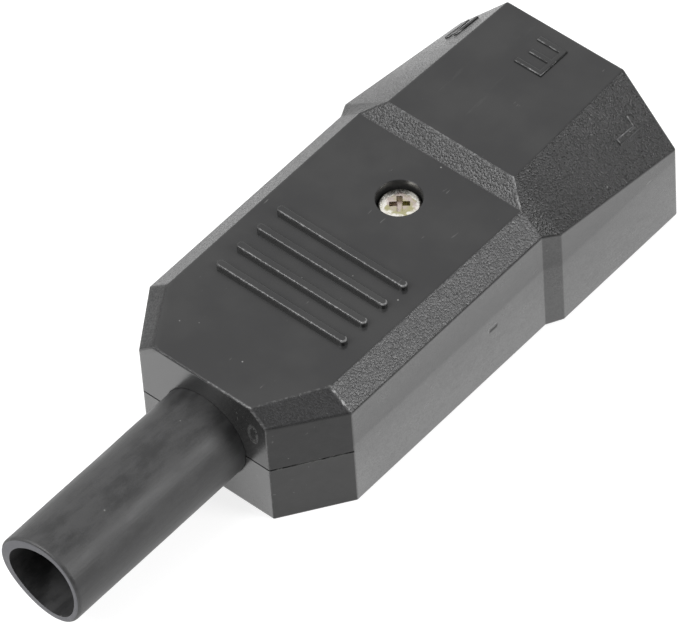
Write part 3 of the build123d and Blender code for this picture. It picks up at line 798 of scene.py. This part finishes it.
# one tapered wing of the cross
def crossWing(start, given, lengthShare, widthShare):
    head, depth = given["Head diameter"], given["Head height"] * screwShape["crossDepth"]
    size = vector(head * lengthShare, head * widthShare, depth * 2)
    wing = start.node("GeometryNodeMeshCube", None, {"Size": size})
    corner = start.node("GeometryNodeInputPosition")
    narrow = 1 - screwShape["crossTaper"] * corner.maths("LESS_THAN", corner.part(2), 0.0)
    taper = vector(corner.part(0) * narrow, corner.part(1) * narrow, corner.part(2) + given["Head height"])
    return start.node("GeometryNodeSetPosition", None, {"Geometry": wing, "Position": taper})


def screwTree():
    sizes = ["Head diameter", "Head height", "Shank diameter", "Shank length", "Pitch", "Thread depth"]
    inputs = {**{size: "Float" for size in sizes}, "Rows": "Int", "Finish": "Material"}
    start, given = startTree("crossHeadScrew", inputs)
    look, headHeight = screwShape, given["Head height"]
    counts = {"Vertices X": look["around"], "Vertices Y": given["Rows"]}
    sheet = start.node("GeometryNodeMeshGrid", None, {0: 1.0, 1: 1.0, **counts})
    spot = start.node("GeometryNodeInputPosition")
    turn = spot.part(0) + 0.5  # once round
    run = 0.5 - spot.part(1)  # top of the head to the tip
    crownRun, shankRun = legShare(run, look["crown"]), legShare(run, look["shank"])
    edgeRun = legShare(run, look["edge"]) * (math.pi / 2)
    headRadius, shankRadius = given["Head diameter"] / 2, given["Shank diameter"] / 2
    edge, dome = headHeight * look["edgeShare"], headHeight * look["domeShare"]
    radius = (headRadius - edge) * crownRun + edge * start.maths("SINE", edgeRun)
    radius = radius + (shankRadius - headRadius) * legShare(run, look["under"])
    height = headHeight - dome * crownRun * crownRun
    height = height - edge * (1 - start.maths("COSINE", edgeRun))
    height = height - (headHeight - dome - edge) * legShare(run, look["side"])
    height = height - shankRun * given["Shank length"]
    tooth = abs(start.maths("FRACT", height / given["Pitch"] - turn) - 0.5) * 2
    radius = radius - tooth * given["Thread depth"] * shankRun.band(0.04, 0.97, 0.02)
    radius = radius * (1 - legShare(run, look["tip"]))
    angle = turn * (2 * math.pi)
    shape = vector(radius * start.maths("COSINE", angle), radius * start.maths("SINE", angle), height)
    cut = shapeSheet(start, sheet, shape)
    for shares in [(look["crossLong"], look["crossWide"]), (look["crossWide"], look["crossLong"])]:
        settings = {"operation": "DIFFERENCE", "solver": "EXACT"}
        cut = start.node("GeometryNodeMeshBoolean", settings, {0: cut, 1: crossWing(start, given, *shares)})
    finishTree(start, cut, given["Finish"])
    return start.tree


crossHeadScrew = screwTree()
for name, (kind, finish, slotName) in screwNodes.items():
    sizes = screwKinds[kind]
    low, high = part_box(name)
    seat = Vector(((low.x + high.x) / 2, (low.y + high.y) / 2, high.z - sizes["headHeight"] * mm))
    values = {
        "Head diameter": high.x - low.x,
        "Head height": sizes["headHeight"] * mm,
        "Shank diameter": sizes["shank"] * mm,
        "Shank length": seat.z - low.z,
        "Pitch": sizes["pitch"] * mm,
        "Thread depth": sizes["thread"] * mm,
        "Rows": sizes["rows"],
        "Finish": finish,
    }
    piece = treePiece(name + "_threaded", crossHeadScrew, values)
    piece.data.transform(Matrix.Translation(seat) @ Matrix.Rotation(math.radians(sizes["turn"]), 4, "Z"))
    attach(piece, "root")
    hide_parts(name)
    print("screw made:", name, len(piece.data.polygons), "faces")


# Sleeve: one tree turns its section round the axis of the cord. Sizes in mm, its cut mouth has two soft lips
sleeveSizes = {
    "tube": 5.8, "bore": 4.55, "collar": 7.1, "axisZ": 8.5,
    "tail": -9.05, "collarFront": -14.0, "collarRear": -15.5, "wall": -17.95, "mouth": -44.95,
    "edge": 0.42, "lip": 0.22, "lipTurn": -59.0, "droop": 0.06, "sway": -0.15, "dents": 0.10, "dentSize": 6.0,
    "boreAside": 0.3, "boreUp": 0.0, "flare": 0.18,
}
sleeveLegs = {
    "tail": (0.0, 0.04), "collarRise": (0.04, 0.05), "collar": (0.05, 0.07), "collarFall": (0.07, 0.08),
    "outside": (0.08, 0.58), "edge": (0.58, 0.62), "rim": (0.62, 0.65), "bore": (0.65, 0.97),
    "close": (0.97, 1.0),
}
sleeveCounts = {"Vertices X": 97, "Vertices Y": 101}


def sleeveTree():
    start, given = startTree("softSleeve", {**{size: "Float" for size in sleeveSizes}, "finish": "Material"})
    sheet = start.node("GeometryNodeMeshGrid", None, {0: 1.0, 1: 1.0, **sleeveCounts})
    spot = start.node("GeometryNodeInputPosition")
    turn = (spot.part(0) + 0.5) * (2 * math.pi)
    sine, cosine = start.maths("SINE", turn), start.maths("COSINE", turn)
    run = 0.5 - spot.part(1)  # from the tail over the outside to the mouth, and back through the bore
    legs = {key: legShare(run, leg) for key, leg in sleeveLegs.items()}
    edgeTurn = legs["edge"] * (math.pi / 2)
    wall = given["tube"] - given["bore"]
    radius = given["tube"] + (given["collar"] - given["tube"]) * (legs["collarRise"] - legs["collarFall"])
    radius = radius - given["edge"] * (1 - start.maths("COSINE", edgeTurn))
    radius = radius - (wall - given["edge"]) * legs["rim"] + wall * legs["close"]
    along = given["tail"] + (given["collarFront"] - given["tail"]) * legs["tail"]
    along = along + (given["collarRear"] - given["collarFront"]) * legs["collar"]
    along = along + (given["mouth"] + given["edge"] - given["collarRear"]) * legs["outside"]
    along = along - given["edge"] * start.maths("SINE", edgeTurn)
    along = along - (given["mouth"] - given["tail"]) * legs["bore"]

    # soft only outside the casing, and most at the mouth
    outside = ((given["wall"] - along) / (given["wall"] - given["mouth"])).clamped()
    twice = (turn - given["lipTurn"] * (math.pi / 180)) * 2
    along = along - given["lip"] * start.maths("COSINE", twice) * start.maths("POWER", outside, 6.0)
    dents = noise(vector(sine * 6, along, cosine * 6), given["dentSize"], 1.0) - 0.5
    radius = radius + dents * given["dents"] * outside.step(0.02, 0.2)
    inBore = legs["rim"] - legs["close"]
    radius = radius + given["flare"] * inBore * start.maths("POWER", outside, 12.0)
    inner = inBore * outside
    aside = given["boreAside"] * inner + given["sway"] * outside * outside
    up = given["boreUp"] * inner - given["droop"] * outside * outside
    shape = vector((radius * sine + aside) * mm, along * mm, (given["axisZ"] + radius * cosine + up) * mm)
    finishTree(start, shapeSheet(start, sheet, shape), given["finish"])
    return start.tree


piece = treePiece("cable_sleeve_soft", sleeveTree(), {**sleeveSizes, "finish": rubber})
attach(piece, "root")
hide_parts("cable_sleeve")
print("sleeve made:", len(piece.data.polygons), "faces")


# Terminal letters, raised on the shroud. They read from the front: right is -x and up is -y. Sizes in mm
letterLook = {
    "rise": 0.28,
    "sink": 0.16,
    "soft": 0.2,
    "above": 50.0,  # where the rays down to the shell start
    "letters": {
        "earth": {"outline": "E", "stroke": 0.68, "wide": 3.95, "tall": 4.75, "middle": (-0.05, 40.35)},
        "live": {"outline": "L", "stroke": 0.58, "wide": 1.5, "tall": 3.5, "middle": (12.2, 40.2)},
        "neutral": {"outline": "N", "stroke": 0.54, "wide": 1.9, "tall": 3.8, "middle": (-12.6, 41.2)},
    },
}


def letterOutline(letter, wide, tall, stroke):
    arm = (tall - stroke) / 2
    slant = 1.7 * stroke
    return {
        "E": [
            (0, 0), (wide, 0), (wide, stroke), (stroke, stroke), (stroke, arm), (0.88 * wide, arm),
            (0.88 * wide, arm + stroke), (stroke, arm + stroke), (stroke, tall - stroke),
            (wide, tall - stroke), (wide, tall), (0, tall),
        ],
        "L": [(0, 0), (wide, 0), (wide, stroke), (stroke, stroke), (stroke, tall), (0, tall)],
        "N": [
            (0, 0), (stroke, 0), (stroke, tall - slant), (wide - stroke, 0), (wide, 0), (wide, tall),
            (wide - stroke, tall), (wide - stroke, slant), (stroke, tall), (0, tall),
        ],
    }[letter]


# a flat letter with soft edges, as a mesh in mm round its own middle
def letterMesh(name, sizes):
    points = letterOutline(sizes["outline"], sizes["wide"], sizes["tall"], sizes["stroke"])
    flat = bpy.data.curves.new(name + "Letter", "CURVE")
    flat.dimensions = "2D"
    flat.fill_mode = "BOTH"
    flat.extrude = (letterLook["rise"] + letterLook["sink"]) / 2 - letterLook["soft"]
    flat.bevel_depth = letterLook["soft"]
    flat.bevel_resolution = 2
    flat.offset = -letterLook["soft"]
    spline = flat.splines.new("POLY")
    spline.points.add(len(points) - 1)
    for point, (right, up) in zip(spline.points, points):
        point.co = (right - sizes["wide"] / 2, up - sizes["tall"] / 2, 0, 1)
    spline.use_cyclic_u = True
    blank = bpy.data.objects.new(name + "Flat", flat)
    scene.collection.objects.link(blank)
    made = bpy.data.meshes.new_from_object(blank.evaluated_get(bpy.context.evaluated_depsgraph_get()))
    bpy.data.objects.remove(blank)
    return made


shellSkin = BVHTree.FromObject(nodes["upper_shell"], bpy.context.evaluated_depsgraph_get())
for name, sizes in letterLook["letters"].items():
    made = letterMesh(name, sizes)
    for vertex in made.vertices:
        x = (sizes["middle"][0] - vertex.co.x) * mm
        y = (sizes["middle"][1] - vertex.co.y) * mm
        lift = vertex.co.z + (letterLook["rise"] - letterLook["sink"]) / 2
        spot, facing = shellSkin.ray_cast(Vector((x, y, letterLook["above"] * mm)), Vector((0, 0, -1)))[:2]
        vertex.co = spot + facing * lift * mm
    piece = bpy.data.objects.new("terminal_letter_" + name, made)
    scene.collection.objects.link(piece)
    dress(piece, lettering)
    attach(piece, "root")
    print("letter made:", name)


# Camera at the angle of the photograph
cameraLook = {
    "place": (0.35955, -0.36667, 0.60423),
    "azimuth": 44.09,
    "elevation": 49.08,
    "roll": -4.39,
    "lens": 375.0,
}


def photoCamera(look):
    azimuth, elevation, roll = (math.radians(look[key]) for key in ("azimuth", "elevation", "roll"))
    level = Vector((math.cos(azimuth), math.sin(azimuth), 0))
    outward = Vector((math.sin(azimuth), -math.cos(azimuth), 0))
    back = outward * math.cos(elevation) + Vector((0, 0, math.sin(elevation)))
    right = level * math.cos(roll) + back.cross(level) * math.sin(roll)
    turn = Matrix((right, back.cross(right), back)).transposed().to_4x4()
    data = bpy.data.cameras.new("photoCamera")
    data.lens = look["lens"]
    data.sensor_width = 36
    data.clip_start = 0.01
    camera = bpy.data.objects.new("photoCamera", data)
    scene.collection.objects.link(camera)
    camera.matrix_world = Matrix.Translation(look["place"]) @ turn
    scene.camera = camera


photoCamera(cameraLook)
print("camera placed")

# White table and soft lamps
studio = {
    "table": (0.36, 0.36, 0.36),
    "tableHalf": 2.0,
    "tableDrop": 0.02 * mm,
    "tableGlow": {"Is Camera Ray": 0.81, "Is Glossy Ray": 0.94, "Is Transmission Ray": 0.94},
    "sky": {"low": 0.12, "high": 1.1, "towards": (-0.45, 0.45, 0.77)},
    "lamps": {
        "softboxRear": {"place": (-0.30, -0.62, 0.72), "size": 0.62, "power": 9.6},
        "softboxRight": {"place": (0.78, 0.36, 0.51), "size": 0.36, "power": 5.2},
    },
}


# glow that only these rays see: the table looks white, also in reflections, and adds no soft light
def tableGlow(start):
    total = 0.0
    for ray, strength in studio["tableGlow"].items():
        total = total + start.node("ShaderNodeLightPath", output=ray) * strength
    return total


def tableTop():
    half, drop = studio["tableHalf"], studio["tableDrop"]
    made = bpy.data.meshes.new("tableTop")
    corners = [(-half, -half), (half, -half), (half, half), (-half, half)]
    made.from_pydata([(x, y, -drop) for x, y in corners], [], [(0, 1, 2, 3)])
    table = bpy.data.objects.new("tableTop", made)
    scene.collection.objects.link(table)
    material, start = startMaterial("tableWhite")
    sockets = {
        "Base Color": (*studio["table"], 1),
        "Roughness": 0.9,
        "Specular IOR Level": 0.1,
        "Emission Color": tableGlow(start),
        "Emission Strength": 1.0,
    }
    finishMaterial(material.name, start, [], sockets)
    dress(table, material)
    table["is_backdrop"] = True


def lightStudio():
    scene.world = bpy.data.worlds.new("studioWhite")
    scene.world.use_nodes = True
    scene.world.node_tree.nodes.clear()
    start = Wire(scene.world.node_tree)
    sky = studio["sky"]
    way = start.node("ShaderNodeTexCoord", output="Generated")
    height = start.vectorMaths("DOT_PRODUCT", {0: way, 1: sky["towards"]}, 1)
    strength = sky["low"] + (sky["high"] - sky["low"]) * height.step(0.0, 0.9)
    glow = start.node("ShaderNodeBackground", None, {"Color": (1, 1, 1, 1), "Strength": strength})
    start.node("ShaderNodeOutputWorld", None, {"Surface": glow})
    for name, lamp in studio["lamps"].items():
        data = bpy.data.lights.new(name, "AREA")
        data.size = lamp["size"]
        data.energy = lamp["power"]
        softbox = bpy.data.objects.new(name, data)
        scene.collection.objects.link(softbox)
        softbox.location = lamp["place"]
        softbox.rotation_euler = Vector(lamp["place"]).to_track_quat("Z", "Y").to_euler()


tableTop()
lightStudio()
print("studio lit")

sizes = [[list(corner) for corner in box] for box in (cadBox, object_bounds())]
